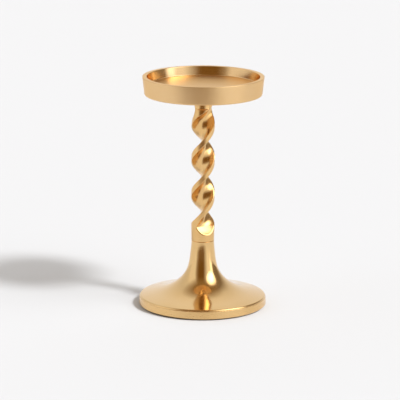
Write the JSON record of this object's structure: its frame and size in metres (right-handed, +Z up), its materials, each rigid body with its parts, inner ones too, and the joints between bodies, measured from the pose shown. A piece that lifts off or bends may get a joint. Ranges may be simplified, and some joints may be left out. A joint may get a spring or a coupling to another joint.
{
  "type": "candle holder",
  "caption": "Round tray for a pillar candle on a slender twisted stem, standing on a flared round foot, all in warm brass.",
  "frame": {"origin": "on the table, under the middle of the foot", "axes": "+Z up along the stem, -Y the front, +X to the right"},
  "size_m": [0.1041, 0.1042, 0.19],
  "materials": {
    "tray_brass": "satin, turned, with fine brush lines round the wall",
    "stem_brass": "polished",
    "base_brass": "satin, turned, with fine brush lines round the foot",
    "pad_felt": "short felt",
    "fixing_steel": "zinc-plated"
  },
  "bodies": {
    "root": {"candle_tray": "tray_brass", "twisted_stem": "stem_brass", "trumpet_base": "base_brass", "foot_pad": "pad_felt", "tray_stud": "fixing_steel", "base_bolt": "fixing_steel", "spring_washer": "fixing_steel", "plain_washer": "fixing_steel"}
  },
  "joints": []
}
